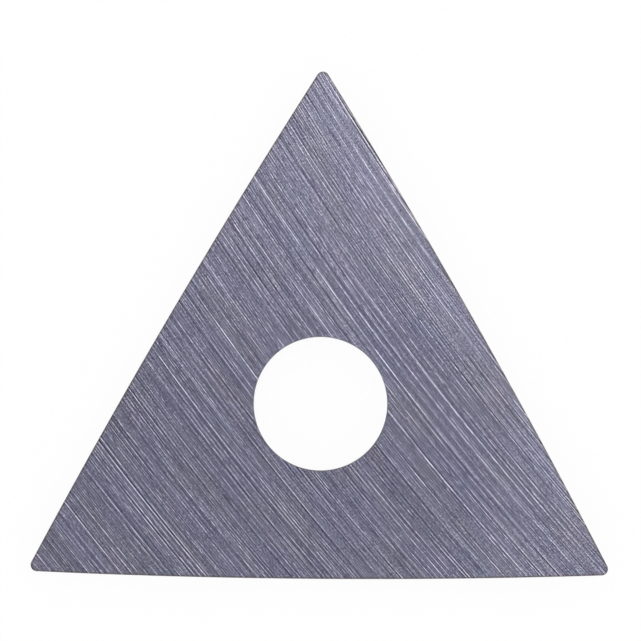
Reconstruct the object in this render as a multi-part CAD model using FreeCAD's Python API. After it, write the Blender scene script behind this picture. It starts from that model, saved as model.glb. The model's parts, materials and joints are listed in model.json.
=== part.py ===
"""A triangular cemented-carbide scraper blade, lying on its smaller face with the cutting face up.

The origin is on the axis of the screw hole, in the face that the blade lies on. +Z runs up along the
hole and +Y points to one corner. Sizes are in millimetres and degrees.
"""

import FreeCAD, Part
import math
import os

from FreeCAD import Rotation, Vector

# Outline, seen from above
SIDES = 3
BLADE_WIDTH = 25.0  # over the tips of two neighbouring corners
CORNER_RADIUS = 0.28
EDGE_CROWN = 0.24  # how far an edge bows out past a straight line laid against two corner rounds

# Section
THICKNESS = 1.2
EDGE_LAND = 0.05  # upright strip left under the cutting edge, so that it doesn't chip
FLANK_ANGLE = 40.0  # how far the ground flank leans in from upright

# Screw hole
HOLE_DIAMETER = 5.8

# How far the cutters run out past the blank
OVERRUN = 0.5

UP = Vector(0, 0, 1)
STEP_ROUND = 360.0 / SIDES

# The corner rounds are centred on the corners of a regular triangle round the hole
half_span = BLADE_WIDTH / 2 - CORNER_RADIUS
span_offset = half_span / math.tan(math.pi / SIDES)

# Each edge is an arc that touches the two corner rounds at its ends
span_radius = (half_span**2 + EDGE_CROWN**2) / (2 * EDGE_CROWN)
edge_radius = span_radius + CORNER_RADIUS
edge_centre = Vector(0, span_radius - EDGE_CROWN - span_offset, 0)
edge_half_angle = math.degrees(math.asin(half_span / span_radius))


def turned(point, steps):
    """The point, turned about the hole's axis by that many corners."""
    return Rotation(UP, steps * STEP_ROUND).multVec(point)


def touching_point(corner):
    """Where the round of a corner at the front meets the front edge."""
    return corner + (corner - edge_centre).normalize() * CORNER_RADIUS


def outline():
    """The blade's outline: crowned edges joined by corner rounds."""
    left_corner = Vector(-half_span, -span_offset, 0)
    right_corner = Vector(half_span, -span_offset, 0)
    edge_start = touching_point(left_corner)
    edge_middle = edge_centre - Vector(0, edge_radius, 0)
    edge_end = touching_point(right_corner)
    corner_tip = right_corner + Vector(right_corner).normalize() * CORNER_RADIUS
    arcs = []
    for step in range(SIDES):
        arcs.append(Part.Arc(turned(edge_start, step), turned(edge_middle, step), turned(edge_end, step)))
        arcs.append(Part.Arc(turned(edge_end, step), turned(corner_tip, step), turned(edge_start, step + 1)))
    return Part.Wire([arc.toShape() for arc in arcs])


def blank():
    """The pressed and sintered plate, its two faces ground flat and its walls still upright."""
    return Part.Face(outline()).extrude(UP * THICKNESS)


def flank_cut(step):
    """What the grinding wheel takes off below one edge: a wedge swept along the crown of that edge."""
    lean = math.tan(math.radians(FLANK_ANGLE))
    land_foot = THICKNESS - EDGE_LAND
    outer_radius = edge_radius + OVERRUN * lean
    inner_radius = edge_radius - (land_foot + OVERRUN) * lean
    wheel_path = [
        Vector(0, edge_centre.y - outer_radius, land_foot + OVERRUN),
        Vector(0, edge_centre.y - inner_radius, -OVERRUN),
        Vector(0, edge_centre.y - outer_radius, -OVERRUN),
    ]
    wedge = Part.Face(Part.makePolygon(wheel_path + wheel_path[:1]))
    # The wheel starts and ends its pass half an edge beyond the corners
    run_out = 2 * edge_half_angle
    wedge.rotate(edge_centre, UP, -run_out)
    cut = wedge.revolve(edge_centre, UP, 2 * run_out)
    cut.rotate(Vector(), UP, step * STEP_ROUND)
    return cut


def screw_hole():
    """The plain round hole that the clamp screw passes through."""
    return Part.makeCylinder(HOLE_DIAMETER / 2, THICKNESS + 2 * OVERRUN, UP * -OVERRUN, UP)


def scraper_blade():
    """The whole blade, one solid."""
    cuts = [flank_cut(step) for step in range(SIDES)]
    return blank().cut(cuts + [screw_hole()]).removeSplitter()


def main():
    os.makedirs("parts", exist_ok=True)
    blade = scraper_blade()
    blade.exportStep("parts/scraper_blade.step")


main()
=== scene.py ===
import json
import math
from collections import namedtuple

import bmesh
import bpy
from mathutils import Color, Matrix, Vector


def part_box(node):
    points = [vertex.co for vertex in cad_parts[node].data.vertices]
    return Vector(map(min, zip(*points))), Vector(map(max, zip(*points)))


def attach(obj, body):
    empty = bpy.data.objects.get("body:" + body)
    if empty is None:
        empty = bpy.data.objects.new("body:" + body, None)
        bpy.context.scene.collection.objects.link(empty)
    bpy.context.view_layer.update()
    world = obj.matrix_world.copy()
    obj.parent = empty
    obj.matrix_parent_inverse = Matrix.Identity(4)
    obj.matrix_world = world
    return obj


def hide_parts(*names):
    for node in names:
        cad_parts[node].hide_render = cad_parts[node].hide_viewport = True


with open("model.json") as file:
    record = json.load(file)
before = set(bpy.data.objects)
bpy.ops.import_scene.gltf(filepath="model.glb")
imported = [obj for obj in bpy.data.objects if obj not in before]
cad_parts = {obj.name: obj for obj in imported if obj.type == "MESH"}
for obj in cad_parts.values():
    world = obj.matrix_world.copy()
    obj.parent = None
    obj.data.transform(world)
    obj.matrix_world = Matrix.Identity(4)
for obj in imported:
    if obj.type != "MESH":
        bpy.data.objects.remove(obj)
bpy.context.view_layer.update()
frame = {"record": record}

# The blade is the whole object: one plate of cemented carbide, pressed and sintered with its screw hole.
# Face wheels grind both faces, a leaning wheel grinds the flank under each edge, and a hone runs along the
# edges. It is made here as a sixth, from the middle of an edge to a corner, which is mirrored and turned.
MM = 0.001  # sizes are in millimetres until the mesh is done
NODE = "scraper_blade"
SIDES = 3
EDGE_CROWN = 0.24  # how far an edge bows out past a straight line laid against two corner rounds
CORNER_RADIUS = 0.28
EDGE_LAND = 0.05  # upright strip left under the cutting edge
FLANK_ANGLE = math.radians(40)  # how far a flank leans in from upright
STRIP_WIDTH = 0.08  # what the hone runs over along the cutting edges
BROKEN_EDGE = 0.02  # how far back a sharp edge is rounded
UP = Vector((0, 0, 1))

# Facets in half an edge, half a corner round and a sixth of the hole
EDGE_FACETS, CORNER_FACETS, HOLE_FACETS = 10, 8, 24
TOUCH = 5e-4  # points nearer to each other than this are one
LEVEL = 0.99  # a facet whose normal rises more than this is part of a ground face
SHARP = math.radians(20)  # an edge that turns more than this is sharp

# The surfaces, in the order in which their finishes are put on
CUTTING_FACE, HONED_STRIP, RESTING_FACE, FLANKS, HOLE_WALL, BROKEN_EDGES = range(6)

lowest, highest = (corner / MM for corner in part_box(NODE))
thickness = highest.z - lowest.z
mounts = {mount["name"]: mount for mount in frame["record"]["mounts"]}
hole_radius = mounts["screw_hole"]["dims"]["r_mm"]

half_span = (highest.x - lowest.x) / 2 - CORNER_RADIUS
span_offset = half_span / math.tan(math.pi / SIDES)
span_radius = (half_span**2 + EDGE_CROWN**2) / (2 * EDGE_CROWN)
edge_radius = span_radius + CORNER_RADIUS
edge_centre = Vector((0, span_radius - EDGE_CROWN - span_offset, 0))
edge_half_angle = math.asin(half_span / span_radius)
corner_way = Vector((math.sin(math.pi / SIDES), -math.cos(math.pi / SIDES), 0))


def all_of(metal):
    """Everything in the mesh, as the operators take it."""
    return metal.verts[:] + metal.edges[:] + metal.faces[:]


def swung(metal, point, centre, angle, steps):
    """Swings a point about an upright axis, leaving a chain of edges, and gives its last point."""
    swing = bmesh.ops.spin(metal, geom=[point], cent=centre, axis=UP, angle=angle, steps=steps)
    return next(vert for vert in swing["geom_last"] if isinstance(vert, bmesh.types.BMVert))


def press_sixth(metal):
    """A sixth of the plate, its walls still upright."""
    edge_middle = edge_centre - Vector((0, edge_radius, 0))
    corner_centre = Vector((half_span, -span_offset, 0))
    middle = bmesh.ops.create_vert(metal, co=edge_middle)["vert"][0]
    edge_end = swung(metal, middle, edge_centre, edge_half_angle, EDGE_FACETS)
    tip = swung(metal, edge_end, corner_centre, math.pi / SIDES - edge_half_angle, CORNER_FACETS)
    rim_start = bmesh.ops.create_vert(metal, co=corner_way * hole_radius)["vert"][0]
    rim_end = swung(metal, rim_start, Vector(), -math.pi / SIDES, HOLE_FACETS)
    metal.edges.new((tip, rim_start))
    metal.edges.new((rim_end, middle))
    bmesh.ops.edgeloop_fill(metal, edges=metal.edges)
    raised = bmesh.ops.extrude_face_region(metal, geom=metal.faces[:], use_keep_orig=True)["geom"]
    top = [vert for vert in raised if isinstance(vert, bmesh.types.BMVert)]
    bmesh.ops.translate(metal, vec=UP * thickness, verts=top)
    bmesh.ops.recalc_face_normals(metal, faces=metal.faces)


def grind_flank(metal):
    """Takes off what the leaning wheel does, one facet of the crowned edge after another."""
    facet_turn = edge_half_angle / EDGE_FACETS
    facet_reach = edge_radius * math.cos(facet_turn / 2)
    for facet in range(EDGE_FACETS):
        heading = (facet + 0.5) * facet_turn
        outward = Vector((math.sin(heading), -math.cos(heading), 0))
        land_foot = edge_centre + outward * facet_reach + UP * (thickness - EDGE_LAND)
        wheel_face = outward * math.cos(FLANK_ANGLE) - UP * math.sin(FLANK_ANGLE)
        cut = bmesh.ops.bisect_plane(
            metal, geom=all_of(metal), dist=TOUCH, plane_co=land_foot, plane_no=wheel_face, clear_outer=True
        )
        open_edges = [edge for edge in cut["geom_cut"] if isinstance(edge, bmesh.types.BMEdge)]
        bmesh.ops.holes_fill(metal, edges=open_edges)


def join_sixths(metal):
    """Opens the two walls between sixths, mirrors the sixth and turns copies to the other corners."""
    across = corner_way.cross(UP)
    seams = []
    for face in metal.faces:
        at_middle = all(abs(vert.co.x) < TOUCH for vert in face.verts)
        at_corner = all(abs(vert.co.dot(across)) < TOUCH for vert in face.verts)
        if at_middle or at_corner:
            seams.append(face)
    bmesh.ops.delete(metal, geom=seams, context="FACES")
    bmesh.ops.mirror(metal, geom=all_of(metal), axis="X", merge_dist=TOUCH)
    turns = SIDES - 1
    bmesh.ops.spin(
        metal, geom=all_of(metal), cent=Vector(), axis=UP, angle=turns * 2 * math.pi / SIDES, steps=turns,
        use_duplicate=True,
    )
    bmesh.ops.remove_doubles(metal, verts=metal.verts, dist=TOUCH)
    bmesh.ops.recalc_face_normals(metal, faces=metal.faces)


def name_surfaces(metal):
    """Tells the surfaces apart, by how each one was ground or left."""
    for face in metal.faces:
        if face.normal.z > LEVEL:
            face.material_index = CUTTING_FACE
        elif face.normal.z < -LEVEL:
            face.material_index = RESTING_FACE
        elif face.calc_center_median().xy.length < hole_radius:
            face.material_index = HOLE_WALL
        else:
            face.material_index = FLANKS


def hone_strip(metal):
    """Parts off the strip that the hone runs over, all along the cutting edges."""
    cutting_face = [face for face in metal.faces if face.material_index == CUTTING_FACE]
    borders = bmesh.ops.inset_region(
        metal, faces=cutting_face, thickness=STRIP_WIDTH, use_boundary=True, use_even_offset=True
    )
    for face in borders["faces"]:
        if face.calc_center_median().xy.length > hole_radius + STRIP_WIDTH:
            face.material_index = HONED_STRIP


def break_edges(metal):
    """Rounds every sharp edge a little, and shades each surface smooth up to its borders."""
    sharp_edges = [edge for edge in metal.edges if edge.calc_face_angle(0) > SHARP]
    rounds = bmesh.ops.bevel(
        metal, geom=sharp_edges, offset=BROKEN_EDGE, segments=2, profile=0.5, affect="EDGES", material=-1,
        clamp_overlap=True,
    )
    for face in rounds["faces"]:
        face.material_index = BROKEN_EDGES
    for face in metal.faces:
        face.smooth = face.material_index not in (CUTTING_FACE, HONED_STRIP, RESTING_FACE)
    for edge in metal.edges:
        edge.smooth = len({face.material_index for face in edge.link_faces}) == 1


metal = bmesh.new()
press_sixth(metal)
grind_flank(metal)
join_sixths(metal)
name_surfaces(metal)
hone_strip(metal)
break_edges(metal)
bmesh.ops.scale(metal, vec=(MM, MM, MM), verts=metal.verts)
blade_mesh = bpy.data.meshes.new("blade")
metal.to_mesh(blade_mesh)
metal.free()
blade = bpy.data.objects.new("blade", blade_mesh)
bpy.context.scene.collection.objects.link(blade)

# The rim of a face wheel leaves arcs of its own radius, in millimetres, each a step further along the
# feed. A heading is the way from the hole to the wheel's axis. The feed runs the other way, turned off to
# one side
FaceWheel = namedtuple("FaceWheel", "radius heading feed_turn")
TOP_WHEEL = FaceWheel(radius=139.0, heading=math.radians(37.9), feed_turn=math.radians(-21.5))
UNDER_WHEEL = FaceWheel(radius=139.0, heading=math.radians(142), feed_turn=math.radians(21.5))

# A pass of a wheel leaves scores, each the track of one grain of diamond. Width and length are shares of
# the finish's own, lean is sideways for each millimetre along, and swing and shine are steps of tone
WheelPass = namedtuple("WheelPass", "width lean length swing shine")
PASSES = (
    WheelPass(width=0.84, lean=0.0, length=2.5, swing=0.235, shine=0.18),
    WheelPass(width=1.00, lean=0.012, length=0.6, swing=0.28, shine=0.0),
    WheelPass(width=0.72, lean=-0.010, length=0.2, swing=0.47, shine=0.0),
    WheelPass(width=0.60, lean=0.004, length=0.09, swing=0.70, shine=0.0),
)
LASTS = (0.28, 0.56)  # where a score is there, as a rise of noise
SHINES = (0.72, 0.90)  # where a score is deep enough to shine
APART = 0.6  # how much the ends of neighbouring scores differ
PASS_SEED, SKIM_SEED, BAND_SEED = 17.3, 91.7, 113.9

# Where the wheel only skims, the scores fade, and wide soft bands lie under them all
SKIM_WIDTH, SKIM_LENGTH, SKIMS, SKIM_SHARE = 4.0, 0.4, (0.58, 0.74), 0.5
BAND_WIDTH, BAND_LENGTH, BAND_SWING = 4.0, 2.5, 0.09
PAINTED_HIGHLIGHT_TRACK, PAINTED_HIGHLIGHT_LIFT = (-5.6, -7.3), 0.033  # a painted highlight: past this span across the track the tone is lifted by this much, a band along one side of the face (the right edge of the cutting face)

# What carbide shows by itself: grain, pores, and a tint of red and blue that drifts
GRAIN_SIZE, GRAIN_DETAIL = (0.05, 0.08, 0.08), 1.0
PORE_SIZE, PORES, PORE_DEPTH = (0.12, 0.12, 0.12), (0.74, 0.82), 0.15
DRIFT_SIZE, DRIFT_DETAIL, DRIFT_ROUGHNESS = (1.3, 3.5, 3.5), 5.0, 0.65
DRIFT_SWING = (0.22, 0.0, 0.27)
TONE_STOPS = (0.1, 0.3, 0.5, 0.7, 0.9)
BLUE_FADE = 0.35  # how much weaker the blue is from black to white
GLOSS_TONES, GLOSS_SWING = (0.2, 0.7), 0.04  # scores are glossier than pores
SCORE_DEPTH = 2e-6  # in metres, from a black to a white tone
IN_MILLIMETRES = (1 / MM, 1 / MM, 1 / MM)  # the scale of a path


def placed(tree, kind, feeds=(), **settings):
    """Adds a node with its settings, and gives inputs their values or the outputs that feed them."""
    made = tree.nodes.new(kind)
    for name, value in settings.items():
        setattr(made, name, value)
    for socket, value in dict(feeds).items():
        if isinstance(value, bpy.types.NodeSocket):
            tree.links.new(value, made.inputs[socket])
        else:
            made.inputs[socket].default_value = value
    return made


def maths(tree, operation, *values):
    """The output of a Math node over these values."""
    return placed(tree, "ShaderNodeMath", enumerate(values), operation=operation).outputs["Value"]


def vectors(tree, operation, *values):
    """The output of a Vector Math node over these vectors."""
    return placed(tree, "ShaderNodeVectorMath", enumerate(values), operation=operation).outputs["Vector"]


def point(tree, x, y, z=0.0):
    """The vector with these three parts."""
    return placed(tree, "ShaderNodeCombineXYZ", {"X": x, "Y": y, "Z": z}).outputs["Vector"]


def cloud(tree, place, **settings):
    """Soft noise, one unit to a cell: its value between 0 and 1, and its colour."""
    feeds = {"Vector": place, "Scale": 1.0, "Detail": 0.0, **settings}
    return placed(tree, "ShaderNodeTexNoise", feeds).outputs


def centred(tree, value, swing):
    """A value between 0 and 1, made to swing about zero by this much in all."""
    return maths(tree, "MULTIPLY_ADD", value, swing, -swing / 2)


def rise(tree, value, span):
    """0 up to the start of the span, 1 past its end, and a soft step between."""
    feeds = {"Value": value, "From Min": span[0], "From Max": span[1]}
    return placed(tree, "ShaderNodeMapRange", feeds, interpolation_type="SMOOTHSTEP").outputs["Result"]


def new_group(name, inputs, outputs):
    """An empty shader group with these sockets, and the sockets as its inside sees them."""
    group = bpy.data.node_groups.new(name, "ShaderNodeTree")
    for sockets, in_out in ((inputs, "INPUT"), (outputs, "OUTPUT")):
        for title, kind in sockets.items():
            group.interface.new_socket(title, in_out=in_out, socket_type="NodeSocket" + kind)
    return group, group.nodes.new("NodeGroupInput").outputs, group.nodes.new("NodeGroupOutput").inputs


def wheel_path_group():
    """How far a place lies across and along the wheel's tracks. The place is given as seen from the
    wheel's axis, with X along the feed."""
    group, given, result = new_group(
        "wheel_path", {"From Axis": "Vector", "Radius": "Float"}, {"Across": "Float", "Along": "Float"}
    )
    parts = placed(group, "ShaderNodeSeparateXYZ", {0: given["From Axis"]}).outputs
    sideways = maths(group, "DIVIDE", parts["Y"], given["Radius"])
    turn = maths(group, "ARCSINE", sideways)
    rim = maths(group, "MULTIPLY", maths(group, "COSINE", turn), given["Radius"])
    group.links.new(maths(group, "SUBTRACT", parts["X"], rim), result["Across"])
    group.links.new(maths(group, "MULTIPLY", turn, given["Radius"]), result["Along"])
    return group


def wheel_scores_group():
    """How much the scores, the soft bands and a painted highlight along one side of the face lift the tone:
    X of the path runs across them, and Y and Z along them.
    """
    group, given, result = new_group(
        "wheel_scores",
        {"Path": "Vector", "Score Width": "Float", "Score Length": "Float"},
        {"Tone Shift": "Float"},
    )
    parts = placed(group, "ShaderNodeSeparateXYZ", {0: given["Path"]}).outputs

    def tracks(width, lean=0.0):
        leaning = maths(group, "MULTIPLY_ADD", parts["Y"], lean, parts["X"])
        return maths(group, "DIVIDE", leaning, maths(group, "MULTIPLY", given["Score Width"], width))

    def patches(across, length, seed):
        span = maths(group, "MULTIPLY", given["Score Length"], length)
        along = maths(group, "DIVIDE", parts["Y"], span)
        up = maths(group, "DIVIDE", parts["Z"], span)
        place = vectors(group, "ADD", point(group, across, along, up), (seed, seed, seed))
        return cloud(group, place)["Fac"]

    scores = 0.0
    for number, wheel_pass in enumerate(PASSES, start=1):
        seed = PASS_SEED * number
        across = tracks(wheel_pass.width, wheel_pass.lean)
        feeds = {"W": maths(group, "ADD", across, seed), "Scale": 1.0, "Detail": 0.0}
        track = placed(group, "ShaderNodeTexNoise", feeds, noise_dimensions="1D").outputs["Fac"]
        tone = centred(group, track, wheel_pass.swing)
        tone = maths(group, "MULTIPLY_ADD", rise(group, track, SHINES), wheel_pass.shine, tone)
        apart = maths(group, "MULTIPLY", across, APART)
        there = rise(group, patches(apart, wheel_pass.length, seed), LASTS)
        scores = maths(group, "MULTIPLY_ADD", tone, there, scores)
    skimmed = rise(group, patches(tracks(SKIM_WIDTH), SKIM_LENGTH, SKIM_SEED), SKIMS)
    left = maths(group, "MULTIPLY_ADD", skimmed, -SKIM_SHARE, 1.0)
    bands = centred(group, patches(tracks(BAND_WIDTH), BAND_LENGTH, BAND_SEED), BAND_SWING)
    # Painted highlight: the tone is lifted in a band along one side of the face, past a given span across
    # the track
    bands_and_painted_highlight = maths(group, "MULTIPLY_ADD", rise(group, parts["X"], PAINTED_HIGHLIGHT_TRACK), PAINTED_HIGHLIGHT_LIFT, bands)
    group.links.new(maths(group, "MULTIPLY_ADD", scores, left, bands_and_painted_highlight), result["Tone Shift"])
    return group


def carbide_grain_group():
    """What carbide shows by itself, ground or not: its grain and pores as a tone, and its tint."""
    group, given, result = new_group(
        "carbide_grain",
        {"Path": "Vector", "Grain Swing": "Float"},
        {"Tone Shift": "Float", "Tint": "Color"},
    )

    def cells(size):
        return vectors(group, "DIVIDE", given["Path"], size)

    grain = centred(group, cloud(group, cells(GRAIN_SIZE), Detail=GRAIN_DETAIL)["Fac"], 1.0)
    grain = maths(group, "MULTIPLY", grain, given["Grain Swing"])
    pores = rise(group, cloud(group, cells(PORE_SIZE))["Fac"], PORES)
    group.links.new(maths(group, "MULTIPLY_ADD", pores, -PORE_DEPTH, grain), result["Tone Shift"])
    drift = cloud(group, cells(DRIFT_SIZE), Detail=DRIFT_DETAIL, Roughness=DRIFT_ROUGHNESS)["Color"]
    weakest = [1 - swing / 2 for swing in DRIFT_SWING]
    group.links.new(vectors(group, "MULTIPLY_ADD", drift, DRIFT_SWING, weakest), result["Tint"])
    return group


wheel_path, wheel_scores, carbide_grain = wheel_path_group(), wheel_scores_group(), carbide_grain_group()


def carbide_grey(tone, red, blue):
    """Carbide's grey at this tone, from 0 to 1 as the eye has it, with this much red and blue in it."""
    cast = (red, 0.0, blue * (1 - BLUE_FADE * (tone - 0.5)))
    return (*Color(tone + part for part in cast).from_srgb_to_scene_linear(), 1)


def put_finish(name, mean_tone, cast, roughness, grain_swing, path_of, scores=None):
    """Adds a carbide finish to the blade, with this cast of red and blue in its grey. path_of gives the
    path over the surface, and scores the width and length of its scores, in millimetres."""
    finish = bpy.data.materials.new(name)
    finish.use_nodes = True
    blade_mesh.materials.append(finish)
    tree = finish.node_tree
    path = path_of(tree, placed(tree, "ShaderNodeTexCoord").outputs["Object"])

    feeds = {"Path": path, "Grain Swing": grain_swing}
    carbide = placed(tree, "ShaderNodeGroup", feeds, node_tree=carbide_grain).outputs
    tone = maths(tree, "ADD", carbide["Tone Shift"], mean_tone)
    if scores:
        feeds = {"Path": path, "Score Width": scores[0], "Score Length": scores[1]}
        marks = placed(tree, "ShaderNodeGroup", feeds, node_tree=wheel_scores).outputs
        tone = maths(tree, "ADD", tone, marks["Tone Shift"])

    ramp = placed(tree, "ShaderNodeValToRGB", {"Fac": tone})
    stops = ramp.color_ramp.elements
    stops.remove(stops[1])
    stops[0].position = TONE_STOPS[0]
    stops[0].color = carbide_grey(TONE_STOPS[0], *cast)
    for stop in TONE_STOPS[1:]:
        stops.new(stop).color = carbide_grey(stop, *cast)
    feeds = {"Factor": 1.0, "A": ramp.outputs["Color"], "B": carbide["Tint"]}
    tinted = placed(tree, "ShaderNodeMix", feeds, data_type="RGBA", blend_type="MULTIPLY")

    feeds = {
        "Value": tone, "From Min": GLOSS_TONES[0], "From Max": GLOSS_TONES[1],
        "To Min": roughness + GLOSS_SWING, "To Max": roughness - GLOSS_SWING,
    }
    gloss = placed(tree, "ShaderNodeMapRange", feeds)
    bump = placed(tree, "ShaderNodeBump", {"Height": tone, "Strength": 1.0, "Distance": SCORE_DEPTH})
    surface = tree.nodes["Principled BSDF"]
    surface.inputs["Metallic"].default_value = 1.0
    tree.links.new(tinted.outputs["Result"], surface.inputs["Base Color"])
    tree.links.new(gloss.outputs["Result"], surface.inputs["Roughness"])
    tree.links.new(bump.outputs["Normal"], surface.inputs["Normal"])


def wheel_track(wheel):
    """The path on a face that this wheel has ground."""
    def path_of(tree, place):
        feeds = {
            "Vector": place, "Scale": IN_MILLIMETRES,
            "Rotation": (0, 0, math.pi - wheel.heading - wheel.feed_turn),
            "Location": Matrix.Rotation(-wheel.feed_turn, 3, "Z") @ Vector((wheel.radius, 0, 0)),
        }
        from_axis = placed(tree, "ShaderNodeMapping", feeds).outputs["Vector"]
        feeds = {"From Axis": from_axis, "Radius": wheel.radius}
        track = placed(tree, "ShaderNodeGroup", feeds, node_tree=wheel_path).outputs
        return point(tree, track["Across"], track["Along"])
    return path_of


def up_the_wall(tree, place):
    """The path on a wall or flank, where scores run level: its height lies across them."""
    upright = (0, math.radians(90), 0)
    feeds = {"Vector": place, "Rotation": upright, "Scale": IN_MILLIMETRES}
    return placed(tree, "ShaderNodeMapping", feeds).outputs["Vector"]


FACE_CAST, FACE_SCORES = (0.003, 0.073), (0.077, 3.5)
put_finish(
    "cutting_face", mean_tone=0.414, cast=FACE_CAST, roughness=0.225, grain_swing=0.60,
    path_of=wheel_track(TOP_WHEEL), scores=FACE_SCORES,
)
put_finish(
    "honed_strip", mean_tone=0.36, cast=(0.020, 0.030), roughness=0.24, grain_swing=0.40,
    path_of=wheel_track(TOP_WHEEL), scores=FACE_SCORES,
)
put_finish(
    "resting_face", mean_tone=0.414, cast=FACE_CAST, roughness=0.26, grain_swing=0.60,
    path_of=wheel_track(UNDER_WHEEL), scores=FACE_SCORES,
)
put_finish(
    "flanks", mean_tone=0.41, cast=(0.004, 0.064), roughness=0.27, grain_swing=0.45,
    path_of=up_the_wall, scores=(0.05, 2.0),
)
put_finish(
    "hole_wall", mean_tone=0.36, cast=(0.006, 0.047), roughness=0.50, grain_swing=0.50,
    path_of=up_the_wall,
)
put_finish(
    "broken_edges", mean_tone=0.37, cast=(0.012, 0.022), roughness=0.35, grain_swing=0.35,
    path_of=up_the_wall,
)

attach(blade, "root")
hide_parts(NODE)


# The table is a sheet of white paper that the blade lies on, a hair's breadth below it. It shows as plain
# white to the camera and in the metal, and still takes a faint shadow.
TABLE_SIZE = 1.5
TABLE_GAP = 0.01 * MM
PAPER_WHITE = 0.9
SHOWN_WHITE = 0.95

sheet = bmesh.new()
bmesh.ops.create_grid(sheet, x_segments=1, y_segments=1, size=TABLE_SIZE / 2)
bmesh.ops.translate(sheet, vec=UP * -TABLE_GAP, verts=sheet.verts)
table_mesh = bpy.data.meshes.new("table")
sheet.to_mesh(table_mesh)
sheet.free()
table = bpy.data.objects.new("table", table_mesh)
bpy.context.scene.collection.objects.link(table)

paper = bpy.data.materials.new("white_paper")
paper.use_nodes = True
tree = paper.node_tree
tree.nodes.clear()
rays = placed(tree, "ShaderNodeLightPath").outputs
in_metal = maths(tree, "MAXIMUM", rays["Is Glossy Ray"], rays["Is Transmission Ray"])
shown = maths(tree, "MULTIPLY", maths(tree, "MAXIMUM", rays["Is Camera Ray"], in_metal), SHOWN_WHITE)
lit = placed(tree, "ShaderNodeBsdfDiffuse", {"Color": (PAPER_WHITE, PAPER_WHITE, PAPER_WHITE, 1)})
white = placed(tree, "ShaderNodeEmission", {"Color": (1, 1, 1, 1), "Strength": 1.0})
mixed = placed(tree, "ShaderNodeMixShader", {0: shown, 1: lit.outputs["BSDF"], 2: white.outputs["Emission"]})
placed(tree, "ShaderNodeOutputMaterial", {"Surface": mixed.outputs["Shader"]})
table_mesh.materials.append(paper)


# The light is that of an even white room, with two soft lamps hung over the blade, a little warm. The long
# one shines along the blade's right side, and the square one at its far corner.
LAMP_HEIGHT = 50
LAMP_COLOUR = (1, 1, 0.94)
LAMP_HEADING = math.radians(72)

room = bpy.data.worlds.new("room")
room.use_nodes = True
walls = room.node_tree.nodes["Background"]
walls.inputs["Color"].default_value = (1, 1, 1, 1)
walls.inputs["Strength"].default_value = 1.0
bpy.context.scene.world = room


def hang_lamp(name, right, back, length, width, power):
    """Hangs a soft lamp over that place, in millimetres from the hole, and turns it to face the hole."""
    light = bpy.data.lights.new(name, "AREA")
    light.shape = "RECTANGLE"
    light.size, light.size_y = length * MM, width * MM
    light.color = LAMP_COLOUR
    light.energy = power
    lamp = bpy.data.objects.new(name, light)
    place = Vector((right, back, LAMP_HEIGHT)) * MM
    away = place.normalized()
    sideways = away.cross((math.cos(LAMP_HEADING), math.sin(LAMP_HEADING), 0)).normalized()
    facing = Matrix((sideways.cross(away), sideways, away)).transposed()
    lamp.matrix_world = Matrix.Translation(place) @ facing.to_4x4()
    lamp.visible_camera = False
    bpy.context.scene.collection.objects.link(lamp)


hang_lamp("long_lamp", right=12.5, back=-14.8, length=150, width=12, power=0.0029)
hang_lamp("square_lamp", right=3.0, back=12.5, length=20, width=20, power=0.00065)


# The camera looks straight down on the blade from far off, so that its walls don't show, and is turned a
# little, as in the photo.
PICTURE_WIDTH = 27.75
PICTURE_CENTRE = Vector((-0.026, 3.613, 0))
PICTURE_TURN = math.radians(0.43)
LENS, SENSOR = 400, 36
NEAREST, FARTHEST = 0.01, 10  # what the camera sees, in metres from it

camera_data = bpy.data.cameras.new("camera")
camera_data.lens, camera_data.sensor_width = LENS, SENSOR
camera_data.clip_start, camera_data.clip_end = NEAREST, FARTHEST
camera = bpy.data.objects.new("camera", camera_data)
distance = PICTURE_WIDTH * LENS / SENSOR
camera.location = (PICTURE_CENTRE + UP * (thickness + distance)) * MM
camera.rotation_euler = (0, 0, PICTURE_TURN)
bpy.context.scene.collection.objects.link(camera)
bpy.context.scene.camera = camera
bpy.context.scene.view_settings.view_transform = "Standard"
